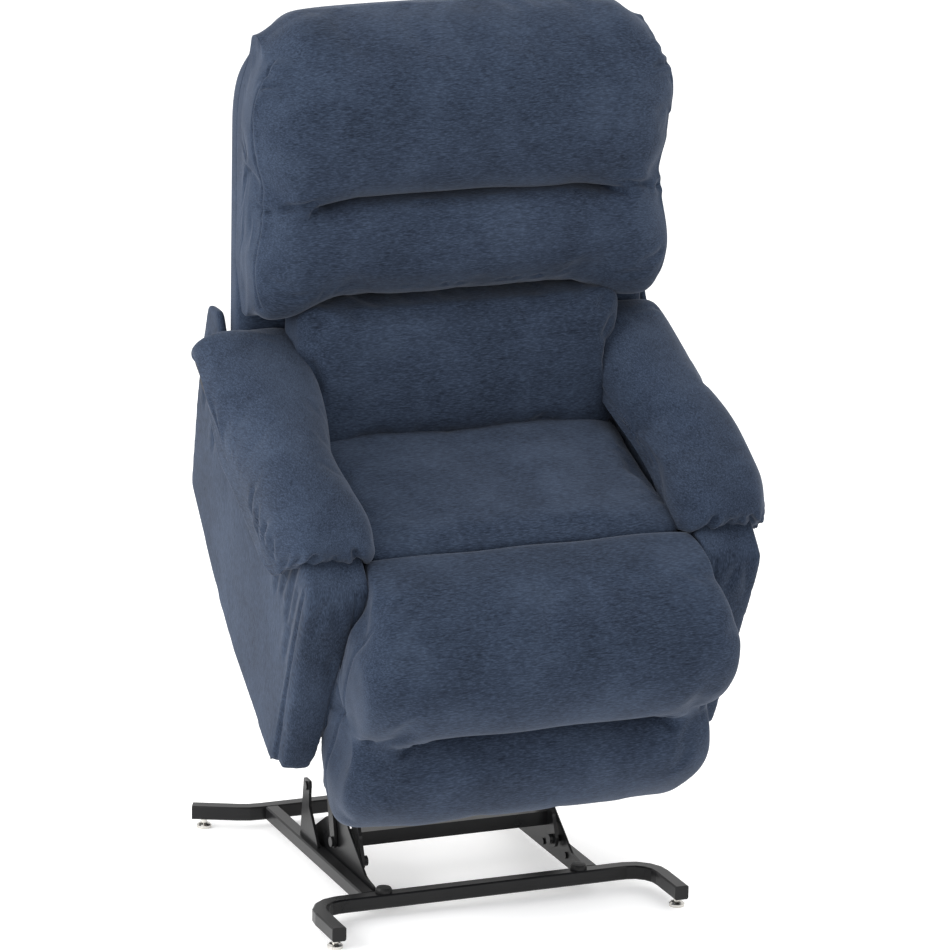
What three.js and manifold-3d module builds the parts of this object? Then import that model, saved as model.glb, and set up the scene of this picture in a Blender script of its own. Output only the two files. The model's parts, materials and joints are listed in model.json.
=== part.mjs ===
// Lift recliner chair, drawn fully raised. Millimetres, +Z up, the sitter faces -Y.
// The chair body is drawn in its own seated axes and leaned forward about X as one group.
import * as THREE from 'three';
import { mergeVertices } from 'three/addons/utils/BufferGeometryUtils.js';
import Module from 'manifold-3d';

const wasm = await Module();
wasm.setup();

// ---- driving dimensions -------------------------------------------------
const RAD = Math.PI / 180;
const LEAN = 31 * RAD;            // forward lean of the raised chair
const BACK_LEAN = -30.5 * RAD;    // recline of the upright backrest, relative to the seat axes
const Y_CENTRE = 95.7;           // puts the middle of the whole chair over the origin
const TUBE = 25;                  // square base tube
const TUBE_Z = 29.5;              // height of the base tubes' centre line
const FRONT_Y = -214, REAR_Y = 287, RAIL_X = 205;
const P1 = [-100, 60];            // lower arm pivot on the base
const P2 = [16.3, 320.2];         // knee
const P3 = [-177.8, 529.0];       // upper arm pivot, base axes
const P3C = [120, 545];           // the same pivot, chair axes
const Q = [43.5, 290.9];          // rear link pin
const R1 = [-15.8, 70];           // rear link pivot on the base
const T = [-57.5, 155];             // torque tube
const A0 = [290, 85], A1 = [-85, 200];        // lift actuator pivots
const K = [440, 640];             // backrest hinge, chair axes
const K1 = [424.4, 551.4];        // recline lever pin
const J0 = [150, 560];            // recline actuator pivot
const F1 = [90, 600], F2 = [204.82, 364.5], F3 = [-35, 470];   // footrest linkage
const GAP = 0.4;

// ---- materials -----------------------------------------------------------
const mat = (hex, rough, metal) => () => new THREE.MeshStandardMaterial({ color: hex, roughness: rough, metalness: metal });
const fabric = mat(0x2f4058, 0.95, 0);
const black = mat(0x16171a, 0.5, 0.4);
const steel = mat(0x8d9094, 0.35, 0.9);
const zinc = mat(0xb5b6b8, 0.3, 0.9);
const wood = mat(0xb08a5c, 0.8, 0);
const plastic = mat(0x1b1c1e, 0.55, 0);
const web = mat(0x6d6a63, 0.9, 0);

// ---- geometry helpers ------------------------------------------------------
const clean = g => {
  for (const k of Object.keys(g.attributes)) if (k !== 'position') g.deleteAttribute(k);
  const m = mergeVertices(g, 1e-4);
  const idx = m.index.array, keep = [];
  for (let i = 0; i < idx.length; i += 3) {
    const [a, b, c] = [idx[i], idx[i + 1], idx[i + 2]];
    if (a !== b && b !== c && a !== c) keep.push(a, b, c);
  }
  m.setIndex(keep);
  return m;
};
const solid = g => {
  const m = clean(g.clone());
  return new wasm.Manifold(new wasm.Mesh({ numProp: 3, vertProperties: new Float32Array(m.attributes.position.array), triVerts: new Uint32Array(m.index.array) }));
};
const back = s => {
  const m = s.getMesh();
  const g = new THREE.BufferGeometry();
  g.setAttribute('position', new THREE.BufferAttribute(new Float32Array(m.vertProperties), 3));
  g.setIndex([...m.triVerts]);
  return g;
};
const join = (...gs) => back(gs.map(solid).reduce((a, b) => a.add(b)));
const cut = (g, ...gs) => back(gs.map(solid).reduce((a, b) => a.subtract(b), solid(g)));

// a closed outline in (y, z), pushed along x from x0 to x1
const AXES_X = new THREE.Matrix4().makeBasis(new THREE.Vector3(0, 1, 0), new THREE.Vector3(0, 0, 1), new THREE.Vector3(1, 0, 0));
const outline = (pts, holes = []) => {
  const s = new THREE.Shape(pts.map(p => new THREE.Vector2(p[0], p[1])));
  for (const [cy, cz, r] of holes) { const h = new THREE.Path(); h.absarc(cy, cz, r, 0, Math.PI * 2, true); s.holes.push(h); }
  return s;
};
const prism = (pts, x0, x1, holes = [], soft = 0) => {
  if (x0 > x1) [x0, x1] = [x1, x0];
  const g = new THREE.ExtrudeGeometry(outline(pts, holes), { depth: 1, steps: soft ? 8 : 1, curveSegments: 6, bevelEnabled: false });
  const stops = [0, 0.12, 0.4, 1], len = x1 - x0;
  const cy = pts.reduce((a, p) => a + p[0], 0) / pts.length, cz = pts.reduce((a, p) => a + p[1], 0) / pts.length;
  const size = Math.min(...[0, 1].map(k => Math.max(...pts.map(p => p[k])) - Math.min(...pts.map(p => p[k])))) / 2;
  g.applyMatrix4(AXES_X);
  return warp(g, (x, y, z) => {
    if (!soft) return [x0 + x * len, y, z];
    const k = Math.round(x * 8), m = Math.min(k, 8 - k), d = m < 4 ? stops[m] * soft : len / 2;
    const off = m < 3 ? soft * (1 - Math.sqrt(1 - (1 - stops[m]) ** 2)) : 0, q = 1 - off / size;
    return [k <= 4 ? x0 + d : x1 - d, cy + (y - cy) * q, cz + (z - cz) * q];
  });
};
// rounds the corners of a closed outline
const round = (pts, r, n = 2) => {
  const out = [];
  pts.forEach((p, i) => {
    const a = pts[(i + pts.length - 1) % pts.length], b = pts[(i + 1) % pts.length];
    const la = Math.hypot(a[0] - p[0], a[1] - p[1]), lb = Math.hypot(b[0] - p[0], b[1] - p[1]);
    const d = Math.min(r, la * 0.45, lb * 0.45);
    const s = [p[0] + (a[0] - p[0]) / la * d, p[1] + (a[1] - p[1]) / la * d];
    const e = [p[0] + (b[0] - p[0]) / lb * d, p[1] + (b[1] - p[1]) / lb * d];
    for (let k = 0; k <= n; k++) {
      const t = k / n, q = 1 - t;
      out.push([q * q * s[0] + 2 * q * t * p[0] + t * t * e[0], q * q * s[1] + 2 * q * t * p[1] + t * t * e[1]]);
    }
  });
  return out;
};
// flat bar with round ends between two points
const slot = (a, b, r, n = 5) => {
  const t = Math.atan2(b[1] - a[1], b[0] - a[0]), pts = [];
  for (let k = 0; k <= n; k++) { const w = t - Math.PI / 2 + Math.PI * k / n; pts.push([b[0] + r * Math.cos(w), b[1] + r * Math.sin(w)]); }
  for (let k = 0; k <= n; k++) { const w = t + Math.PI / 2 + Math.PI * k / n; pts.push([a[0] + r * Math.cos(w), a[1] + r * Math.sin(w)]); }
  return pts;
};
const rodX = (r, x0, x1, c, seg = 14) => {
  if (x0 > x1) [x0, x1] = [x1, x0];
  const g = new THREE.CylinderGeometry(r, r, x1 - x0, seg);
  g.rotateZ(Math.PI / 2);
  g.translate((x0 + x1) / 2, c[0], c[1]);
  return g;
};
const warp = (g, f) => {
  const p = g.attributes.position;
  for (let i = 0; i < p.count; i++) { const q = f(p.getX(i), p.getY(i), p.getZ(i)); p.setXYZ(i, q[0], q[1], q[2]); }
  return g;
};
const box = (x0, x1, y0, y1, z0, z1) => {
  const g = new THREE.BoxGeometry(Math.abs(x1 - x0), Math.abs(y1 - y0), Math.abs(z1 - z0));
  g.translate((x0 + x1) / 2, (y0 + y1) / 2, (z0 + z1) / 2);
  return g;
};
// pillow: a sphere squared off towards its box
const spow = (v, e) => Math.sign(v) * Math.pow(Math.abs(v), e);
const pillow = (hx, hy, hz, e1, e2, ws = 22, hs = 12) => {
  const g = new THREE.SphereGeometry(1, ws, hs);
  return warp(g, (x, y, z) => {
    const r = Math.hypot(x, z), el = Math.atan2(y, r), az = Math.atan2(z, x);
    const ce = r < 1e-6 ? 0 : Math.pow(Math.cos(el), e1);
    const c = Math.abs(Math.cos(az)) < 1e-9 ? 0 : Math.cos(az), s = Math.abs(Math.sin(az)) < 1e-9 ? 0 : Math.sin(az);
    return [hx * ce * spow(c, e2), hy * spow(Math.sin(el), e1), hz * ce * spow(s, e2)];
  });
};
const put = (g, x, y, z) => { g.translate(x, y, z); return g; };
// turns a prism drawn in (y, z) so that its outline lies in (x, z) and its length runs along y
const face = g => { g.applyMatrix4(new THREE.Matrix4().makeBasis(new THREE.Vector3(0, 1, 0), new THREE.Vector3(1, 0, 0), new THREE.Vector3(0, 0, 1))); flip(g); return g; };
const flip = g => {
  if (g.index) { const a = g.index.array; for (let i = 0; i < a.length; i += 3) { const t = a[i]; a[i] = a[i + 1]; a[i + 1] = t; } return; }
  const p = g.attributes.position;
  for (let i = 0; i < p.count; i += 3) { const a = [p.getX(i), p.getY(i), p.getZ(i)]; p.setXYZ(i, p.getX(i + 1), p.getY(i + 1), p.getZ(i + 1)); p.setXYZ(i + 1, ...a); }
};
// straight tool along a direction in the y-z plane, starting d0 from p
const along = (g, p, deg) => { g.rotateX(deg * RAD); g.translate(0, p[0], p[1]); return g; };

// square tube along a flat path
const square = (s, r) => {
  const h = s / 2, sh = new THREE.Shape();
  sh.moveTo(-h + r, -h); sh.lineTo(h - r, -h); sh.lineTo(h, -h + r); sh.lineTo(h, h - r);
  sh.lineTo(h - r, h); sh.lineTo(-h + r, h); sh.lineTo(-h, h - r); sh.lineTo(-h, -h + r); sh.closePath();
  return sh;
};
const bent = (pts, steps) => {
  const c = new THREE.CatmullRomCurve3(pts.map(p => new THREE.Vector3(p[0], p[1], TUBE_Z)), false, 'centripetal');
  c.arcLengthDivisions = 1200;
  return new THREE.ExtrudeGeometry(square(TUBE, 2.5), { steps, extrudePath: c, bevelEnabled: false });
};
const halfPath = (line, n) => {
  // line: straight end, bend centre, radius, start and end angle, free end
  const pts = [];
  for (let k = 0; k <= 6; k++) pts.push([line.x * k / 6.0, line.y]);
  for (let k = 1; k <= n; k++) {
    const a = line.a0 + (line.a1 - line.a0) * k / n;
    pts.push([line.cx + line.r * Math.cos(a), line.cy + line.r * Math.sin(a)]);
  }
  const last = pts[pts.length - 1];
  for (let k = 1; k <= 4; k++) pts.push([last[0] + (line.end[0] - last[0]) * k / 4, last[1] + (line.end[1] - last[1]) * k / 4]);
  return [...pts.slice(1).reverse().map(p => [-p[0], p[1]]), ...pts];
};

// ---- scene ---------------------------------------------------------------
const root = new THREE.Group();
root.position.y = Y_CENTRE;
const chair = new THREE.Group();
chair.rotation.x = LEAN;
root.add(chair);
const backrest = new THREE.Group();
backrest.position.set(0, K[0], K[1]);
backrest.rotation.x = BACK_LEAN;
chair.add(backrest);
const add = (parent, name, g, m) => { const me = new THREE.Mesh(clean(g), m()); me.name = name; parent.add(me); return me; };
const LR = [['R', -1], ['L', 1]];     // the sitter's right is -X

// base frame
add(root, 'base_front_tube', bent(halfPath({ x: 261, y: FRONT_Y, cx: 261, cy: FRONT_Y - 50, r: 50, a0: Math.PI / 2, a1: 0, end: [311, -350] }, 7), 42), black);
add(root, 'base_rear_tube', bent(halfPath({ x: 223, y: REAR_Y, cx: 223, cy: REAR_Y + 90, r: 90, a0: -Math.PI / 2, a1: -66 * RAD, end: [335, 330] }, 4), 34), black);
for (const [n, s] of LR) {
  const rail = new THREE.ExtrudeGeometry(square(TUBE, 2.5), { depth: 474.2, bevelEnabled: false });
  rail.rotateX(-Math.PI / 2);
  // rail with the upright bracket welded on it
  add(root, 'base_rail_' + n, join(put(rail, s * RAIL_X, -201.1, TUBE_Z), prism(round([[34, 38], [122, 38], [106, 150], [78, 150], [80, 104], [34, 46]], 4, 2), s * 203, s * 208),
    rodX(8, s * 200.5, s * 204, [92, 138], 16), rodX(8, s * 207, s * 211, [92, 138], 16)), black);
  const cap = new THREE.LatheGeometry([[0, 42.4], [14.5, 42.4], [14.5, 47], [12, 50.5], [6, 51.5], [0, 51.5]].map(p => new THREE.Vector2(...p)), 16);
  cap.rotateX(Math.PI / 2);
  add(root, 'base_cap_' + n, put(cap, s * 179, -210, 0), plastic);
  for (const [m, x, y] of [['front', 311, -330], ['rear', 316, 321.5]]) {
    const foot = new THREE.LatheGeometry([[0, 0], [13.5, 0], [13.5, 5], [10, 8], [5.5, 9], [5.5, 16.6], [0, 16.6]].map(p => new THREE.Vector2(...p)), 16);
    foot.rotateX(Math.PI / 2);
    add(root, 'glide_' + m + '_' + n, put(foot, s * x, y, 0), zinc);
  }
  // side plate with two bosses and the pivot studs of the lower arm and the rear link
  const plate = prism(round([[-198, 20], [112, 20], [112, 52], [40, 96], [-20, 125], [-50, 128], [-77, 105], [-157, 51], [-198, 46]], 5, 2),
    s * 187.8, s * 191.8);
  add(root, 'base_plate_' + n, join(plate, rodX(6, s * 184.6, s * 189, [-35, 33], 16), rodX(6, s * 184.6, s * 189, [-135, 40], 16),
    rodX(6, s * 190, s * 200, R1), rodX(9, s * 199.5, s * 203.5, R1),
    rodX(6, s * 175, s * 190, P1), rodX(9, s * 168, s * 175.5, P1)), black);
}
// bracket for the lift actuator, with its pin
{
  const ear = x => prism(slot([288, 58], A0, 14), x, x + 4);
  add(root, 'lift_motor_bracket', join(box(-20, 20, 275, 299, 42.4, 47), ear(-19), ear(15), rodX(5, -21, 21, A0)), black);
}

// lower lift frame: two arms, cross bar and torque tube, welded
{
  const parts = [put(new THREE.BoxGeometry(354, TUBE, TUBE), 0, -62, 90), rodX(10, -178, 178, T, 16),
    prism(slot(T, A1, 14), 16.5, 20.5), prism(slot(T, A1, 14), -20.5, -16.5), rodX(5, 13, 17, A1, 12), rodX(5, -17, -13, A1, 12)];
  for (const [, s] of LR) {
    const arm = join(prism(slot(P1, P2, 15), s * 176, s * 182), prism(slot([-84, 96], [-62, 90], 16), s * 176, s * 182));
    parts.push(cut(arm, rodX(6.5, s * 175, s * 183, P1)), rodX(6, s * 163, s * 177, P2), rodX(9, s * 159.2, s * 163.4, P2));
  }
  add(root, 'lower_lift_frame', join(...parts), black);
}

// upper arms and rear links
for (const [n, s] of LR) {
  const arm = prism(slot(Q, P3, 13), s * 164, s * 170, [[P2[0], P2[1], 6.5], [P3[0], P3[1], 6.5]]);
  add(root, 'upper_arm_' + n, join(arm, rodX(5, s * 169, s * 193.4, Q, 16)), black);
  add(root, 'rear_link_' + n, prism(slot(R1, Q, 11), s * 194, s * 199, [[R1[0], R1[1], 6.5], [Q[0], Q[1], 5.6]]), black);
}

// lift actuator: gearbox with motor, outer tube and rod
const LIFT_DIR = Math.atan2(A1[1] - A0[1], A1[0] - A0[0]) / RAD;
{
  const eye = cut(join(rodX(11, -10, 10, [0, 0]), box(-9, 9, 4, 18, -9, 9)), rodX(5.6, -11, 11, [0, 0]));
  const gear = prism(round([[16, -24], [78, -24], [78, 24], [16, 24]], 8, 2), -26, 26);
  const can = new THREE.CylinderGeometry(20, 20, 92, 20);
  add(root, 'lift_motor', along(join(eye, gear, put(can, 40, 66, -2)), A0, LIFT_DIR), plastic);
  const tube = cut(put(new THREE.CylinderGeometry(14, 14, 153.6, 20), 0, 155.2, 0), put(new THREE.CylinderGeometry(10.3, 10.3, 170, 20), 0, 155.2, 0));
  add(root, 'lift_motor_tube', along(tube, A0, LIFT_DIR), steel);
  const rod = put(new THREE.CylinderGeometry(9, 9, 173, 20), 0, -92, 0);
  const end = cut(rodX(11, -8, 8, [0, 0]), rodX(5.6, -9, 9, [0, 0]));
  add(root, 'lift_rod', along(join(rod, end), A1, LIFT_DIR), zinc);
}

// seat frame
const RAIL = [[20, 572], [380, 572], [470, 488], [508, 488], [508, 520], [478, 610], [478, 645], [455, 662], [425, 655], [400, 638], [20, 688]];
for (const [n, s] of LR) {
  add(chair, 'seat_side_rail_' + n, prism(RAIL, s * 262, s * 284, [[K[0], K[1], 7.5], [F1[0], F1[1], 6.6]]), wood);
}
add(chair, 'seat_front_rail', box(-261.5, 261.5, 20, 40, 602, 684), wood);
add(chair, 'seat_rear_rail', box(-261.5, 261.5, 484, 508, 490, 518), wood);
// cross tube of the seat, with the lift brackets and the ears of the recline actuator welded on
{
  const brackets = LR.map(([, s]) => join(prism(round([[104, 540], [112, 531], [128, 531], [140, 545], [165, 580], [128, 580], [104, 555]], 4, 2), s * 156, s * 162),
    rodX(6, s * 161, s * 171, P3C), rodX(9, s * 170.6, s * 174.4, P3C)));
  add(chair, 'seat_cross_tube', join(...brackets, box(-261.5, 261.5, 137.5, 162.5, 577.5, 602.5),
    prism([[140, 580], [160, 580], [162, 562], [156, 549], [144, 549], [138, 562]], 11.5, 15.5),
    prism([[140, 580], [160, 580], [162, 562], [156, 549], [144, 549], [138, 562]], -15.5, -11.5), rodX(4.5, -17, 17, J0, 16)), black);
}
add(chair, 'seat_webbing', prism([[22, 688.6], [398, 638.8], [398, 642], [22, 691.8]], -283, 283), web);
add(chair, 'power_supply', prism(round([[440, 492], [483.5, 492], [483.5, 520], [440, 520]], 4, 2), 100, 220), plastic);
add(chair, 'seat_cushion', prism(round([[23, 693], [390, 644.5], [382, 704], [330, 716], [200, 752], [90, 790], [35, 795], [22, 768]], 16, 2), -288, 288, [], 22), fabric);

// arms
const flare = u => 12 * Math.max(0, Math.min(1, 1 - (u + 30) / 540));
for (const [n, s] of LR) {
  const side = round([[-66.8, 398], [175, 409], [335, 436], [506, 484], [565, 640], [590, 725], [606, 813], [560, 838], [500, 800], [478, 770], [-22.8, 770]], 14, 2);
  add(chair, 'side_panel_' + n, warp(prism(side, s * 374.5, s * 391, [], 4), (x, y, z) => [x + s * flare(y), y, z]), fabric);
  add(chair, 'arm_box_' + n, prism([[-63, 430], [340, 460], [385, 560], [396, 655], [459, 769.5], [-23, 769.5]], s * 293, s * 373.6), fabric);
  // front panel: its outline is drawn face on, then turned to face forward
  const fp = round([[292, 769], [403, 769], [401, 600], [392, 405], [340, 398], [306, 600]], 14, 2).map(p => [s * p[0], p[1]]);
  // leans forward towards its foot, and rises over a sloping shoulder to the end of the arm pad
  const shoulder = prism(round([[-43, 745], [-43, 773], [-28, 787], [24, 803], [24, 773], [-24.5, 773], [-29, 745]], 3, 2), Math.min(s * 294, s * 401), Math.max(s * 294, s * 401));
  add(chair, 'arm_front_' + n, join(warp(face(prism(fp, -43, -23.5, [], 4)), (x, y, z) => [x, y - 44 * Math.max(0, 1 - Math.max(0, z - 398) / 371), z]), shoulder), fabric);
  const pad = round([[27.5, 771], [26.5, 800], [18, 820], [24, 845], [60, 860], [200, 864], [420, 860], [503, 847], [461, 771]], 16, 2);
  add(chair, 'arm_pad_' + n, warp(prism(pad, 0, 140, [], 30), (x, y, z) => {
    const t = Math.max(0, Math.min(1, (y - 110) / 350)), xo = 436 - 64 * t * t * (3 - 2 * t);
    return [s > 0 ? 296 + (xo - 296) * x / 140 : -xo + (xo - 296) * x / 140, y, z];
  }), fabric);
}

// backrest, in its own axes: y to the rear, z up along the back
add(backrest, 'back_board', box(-250, 250, -42, -24, -12, 690), wood);
// hinge plates, cross strap and recline lever, welded
{
  const lean = [K1[0] - K[0], K1[1] - K[1]], c = Math.cos(-BACK_LEAN), s2 = Math.sin(-BACK_LEAN);
  const k1 = [lean[0] * c - lean[1] * s2, lean[0] * s2 + lean[1] * c];
  const leaf = x => prism(slot([-6, 30], k1, 12), x, x + 4);
  const plates = LR.map(([, s]) => join(prism(round([[-14, -14], [10, -14], [10, 14], [-9, 38], [-12, 120], [-40, 120], [-40, 20]], 6, 2), s * 250.4, s * 255.5), rodX(7, s * 255, s * 280, [0, 0])));
  add(backrest, 'back_hinge_frame', join(...plates, box(-252, 252, -23.6, -14, 12, 44), leaf(12.5), leaf(-16.5),
    rodX(4.5, -13, -9.5, k1, 12), rodX(4.5, 9.5, 13, k1, 12)), steel);
}
{
  const o = round([[-368, 45], [368, 45], [370, 600], [358, 690], [300, 736], [0, 744], [-300, 736], [-358, 690], [-370, 600]], 20, 2);
  const sh = face(prism(o, -43, 16, [], 10));
  add(backrest, 'back_shell', cut(sh, box(-257, 257, -60, -5, 20, 696)), fabric);
}
add(backrest, 'back_pillow_lumbar', put(pillow(286, 42, 118, 0.45, 0.3), 0, -87, 141), fabric);
add(backrest, 'back_pillow_middle', put(pillow(370, 54, 93, 0.45, 0.3), 0, -98.5, 354), fabric);
add(backrest, 'back_pillow_head', put(warp(pillow(369, 62, 151, 0.45, 0.32), (x, y, z) => [x * (z > 60 ? 1 - 0.05 * (z - 60) / 90 : 1), y, z]), 0, -106.5, 599.5), fabric);

// recline actuator
const REC_DIR = Math.atan2(K1[1] - J0[1], K1[0] - J0[0]) / RAD;
{
  const eye = cut(join(rodX(9, -9, 9, [0, 0]), box(-8, 8, 3, 16, -8, 8)), rodX(5, -10, 10, [0, 0]));
  const gear = prism(round([[14, -22], [74, -22], [74, 14], [14, 14]], 6, 2), -24, 24);
  const can = new THREE.CylinderGeometry(18, 18, 84, 20);
  add(chair, 'recline_motor', along(join(eye, gear, put(can, 36, 62, -6)), J0, REC_DIR), plastic);
  const tube = cut(put(new THREE.CylinderGeometry(12, 12, 129.6, 18), 0, 139.2, 0), put(new THREE.CylinderGeometry(8.8, 8.8, 150, 18), 0, 139.2, 0));
  add(chair, 'recline_motor_tube', along(tube, J0, REC_DIR), steel);
  add(chair, 'recline_rod', along(join(put(new THREE.CylinderGeometry(7.5, 7.5, 142, 18), 0, -77, 0), cut(rodX(9, -7, 7, [0, 0]), rodX(5.6, -8, 8, [0, 0]))), K1, REC_DIR), zinc);
}

// footrest linkage and footrest
for (const [n, s] of LR) {
  add(chair, 'footrest_link_upper_' + n, join(prism(slot(F1, F2, 11), s * 242, s * 248), rodX(6, s * 247, s * 281, F1), rodX(5.5, s * 232.6, s * 243, F2, 16)), steel);
}
add(chair, 'footrest_link_lower', join(...LR.map(([, s]) => prism(slot(F2, F3, 11), s * 234, s * 240, [[F2[0], F2[1], 6], [F3[0], F3[1], 6]])),
  rodX(8, -236, 236, [(F2[0] + F3[0]) / 2, (F2[1] + F3[1]) / 2], 16)), steel);
add(chair, 'footrest_bracket', join(box(-232, 232, -49.6, -44, 496, 520),
  ...LR.map(([, s]) => join(prism(round([[-49.6, 428], [-49.6, 520], [-40, 520], [-36, 488], [-22, 476], [-22, 464], [-36, 452]], 3, 1), s * 226, s * 232), rodX(5.5, s * 231, s * 241.2, F3, 16)))), steel);
add(chair, 'footrest_board', box(-272, 272, -66, -50, 336, 628), wood);
const bulge = (g, w) => warp(g, (x, y, z) => { const t = Math.max(0, Math.min(1, (-y - 60) / 90)); return [x * (1 + w * t), y, z]; });
add(chair, 'footrest_pad_upper', bulge(prism(round([[18, 752], [17, 786], [-60, 800], [-140, 768], [-195, 715], [-212, 650], [-195, 590], [-150, 553], [-66.4, 549], [-66.4, 651], [-40, 690]], 20, 2), -284, 284, [], 24), 0.125), fabric);
add(chair, 'footrest_pad_lower', bulge(prism(round([[-66.4, 545], [-150, 548], [-200, 510], [-216, 430], [-195, 360], [-150, 324], [-66.4, 318]], 20, 2), -276, 276, [], 24), 0.12), fabric);

// handset in its holder on the outside of the right arm
add(chair, 'handset_holder', join(prism(round([[408, 736], [520, 742], [520, 794], [408, 788]], 8, 2), -398.2, -395),
  prism(round([[420, 728], [505, 733], [505, 739], [420, 735]], 2, 1), -419, -396), prism(round([[399, 742], [406, 742], [406, 780], [399, 780]], 2, 1), -415, -396),
  box(-398.2, -395, 399, 412, 745, 775), box(-398.2, -395, 425, 500, 731, 745)), plastic);
add(chair, 'handset', cut(prism(round([[408, 741], [540, 748], [548, 770], [540, 795], [408, 788]], 12, 2), -423, -399, [], 3),
  box(-424, -420, 428, 450, 754, 780), box(-424, -420, 462, 484, 756, 782)), plastic);
add(chair, 'handset_button_raise', box(-424.5, -421.6, 428.5, 449.5, 754.5, 779.5), web);
add(chair, 'handset_button_lower', box(-424.5, -421.6, 462.5, 483.5, 756.5, 781.5), web);

export default root;
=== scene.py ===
import json
import math
import bpy
import numpy as np
from mathutils import Matrix, Vector


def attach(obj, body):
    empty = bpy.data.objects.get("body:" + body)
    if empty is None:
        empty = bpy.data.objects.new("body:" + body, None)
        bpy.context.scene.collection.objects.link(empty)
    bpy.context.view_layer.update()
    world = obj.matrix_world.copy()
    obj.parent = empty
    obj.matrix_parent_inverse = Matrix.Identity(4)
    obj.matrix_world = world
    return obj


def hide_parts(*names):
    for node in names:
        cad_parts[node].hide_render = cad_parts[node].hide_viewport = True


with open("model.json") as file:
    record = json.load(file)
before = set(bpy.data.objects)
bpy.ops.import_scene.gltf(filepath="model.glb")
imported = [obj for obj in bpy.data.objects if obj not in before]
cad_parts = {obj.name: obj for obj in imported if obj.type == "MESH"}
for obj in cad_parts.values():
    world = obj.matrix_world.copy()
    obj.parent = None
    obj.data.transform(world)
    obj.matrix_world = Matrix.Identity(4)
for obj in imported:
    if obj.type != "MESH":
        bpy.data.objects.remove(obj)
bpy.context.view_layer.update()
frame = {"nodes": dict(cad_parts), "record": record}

# ------------------------------------------------------------------ axes
# The chair body is drawn in its own seated axes (x, u, v), leaned forward about X.
LEAN = math.radians(31.0)
BACK = math.radians(-30.5)
YC = 95.7
KU, KV = 440.0, 640.0
C1, S1 = math.cos(LEAN), math.sin(LEAN)
C2, S2 = math.cos(BACK), math.sin(BACK)


def chair_to_world(p):
    x, u, v = p[:, 0], p[:, 1], p[:, 2]
    return np.stack([x, u * C1 - v * S1 + YC, u * S1 + v * C1], 1) / 1000.0


def back_to_world(p):
    x, n, t = p[:, 0], p[:, 1], p[:, 2]
    return chair_to_world(np.stack([x, KU + n * C2 - t * S2, KV + n * S2 + t * C2], 1))


def smooth(a, b, x):
    t = np.clip((x - a) / (b - a), 0.0, 1.0)
    return t * t * (3 - 2 * t)


def gauss(x, s):
    return np.exp(-(x / s) ** 2)


# ------------------------------------------------------------------ mesh makers
def cube_grid(nx, ny, nz):
    """Vertices and quads of a closed box grid over [-1, 1] cubed."""
    index, verts, faces = {}, [], []

    def vid(i, j, k):
        key = (i, j, k)
        if key not in index:
            index[key] = len(verts)
            verts.append((2.0 * i / nx - 1, 2.0 * j / ny - 1, 2.0 * k / nz - 1))
        return index[key]

    for i in range(nx):
        for j in range(ny):
            faces.append([vid(i, j, 0), vid(i, j + 1, 0), vid(i + 1, j + 1, 0), vid(i + 1, j, 0)])
            faces.append([vid(i, j, nz), vid(i + 1, j, nz), vid(i + 1, j + 1, nz), vid(i, j + 1, nz)])
    for i in range(nx):
        for k in range(nz):
            faces.append([vid(i, 0, k), vid(i + 1, 0, k), vid(i + 1, 0, k + 1), vid(i, 0, k + 1)])
            faces.append([vid(i, ny, k), vid(i, ny, k + 1), vid(i + 1, ny, k + 1), vid(i + 1, ny, k)])
    for j in range(ny):
        for k in range(nz):
            faces.append([vid(0, j, k), vid(0, j, k + 1), vid(0, j + 1, k + 1), vid(0, j + 1, k)])
            faces.append([vid(nx, j, k), vid(nx, j + 1, k), vid(nx, j + 1, k + 1), vid(nx, j, k + 1)])
    return np.array(verts), faces


def soft_box(half, step, p):
    """A rounded box as unit coordinates and faces; half sizes in mm only set the grid."""
    n = [max(6, int(round(2 * h / step))) for h in half]
    v, f = cube_grid(*n)
    # bunch the grid towards the edges a little, then round it off
    v = np.sign(v) * np.abs(v) ** 0.92
    r = (np.abs(v) ** p).sum(1) ** (-1.0 / p)
    return v * r[:, None], f


def loft(profile_at, xs, cap=6):
    """Closed body from one outline per x station, each an (m, 2) array, with capped ends."""
    rings = [profile_at(x) for x in xs]
    m = len(rings[0])
    verts, faces = [], []
    for x, ring in zip(xs, rings):
        verts += [(x, q[0], q[1]) for q in ring]
    for a in range(len(xs) - 1):
        for i in range(m):
            j = (i + 1) % m
            faces.append([a * m + i, a * m + j, (a + 1) * m + j, (a + 1) * m + i])
    for end, ring_i in ((0, 0), (1, len(xs) - 1)):
        ring = rings[ring_i]
        c = ring.mean(0)
        prev = [ring_i * m + i for i in range(m)]
        for k in range(1, cap):
            q = 1 - k / cap
            base = len(verts)
            verts += [(xs[ring_i], c[0] + (r[0] - c[0]) * q, c[1] + (r[1] - c[1]) * q) for r in ring]
            cur = [base + i for i in range(m)]
            for i in range(m):
                j = (i + 1) % m
                quad = [prev[i], prev[j], cur[j], cur[i]]
                faces.append(quad[::-1] if end == 0 else quad)
            prev = cur
        base = len(verts)
        verts.append((xs[ring_i], c[0], c[1]))
        for i in range(m):
            j = (i + 1) % m
            tri = [prev[i], prev[j], base]
            faces.append(tri[::-1] if end == 0 else tri)
    return np.array(verts), faces


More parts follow.
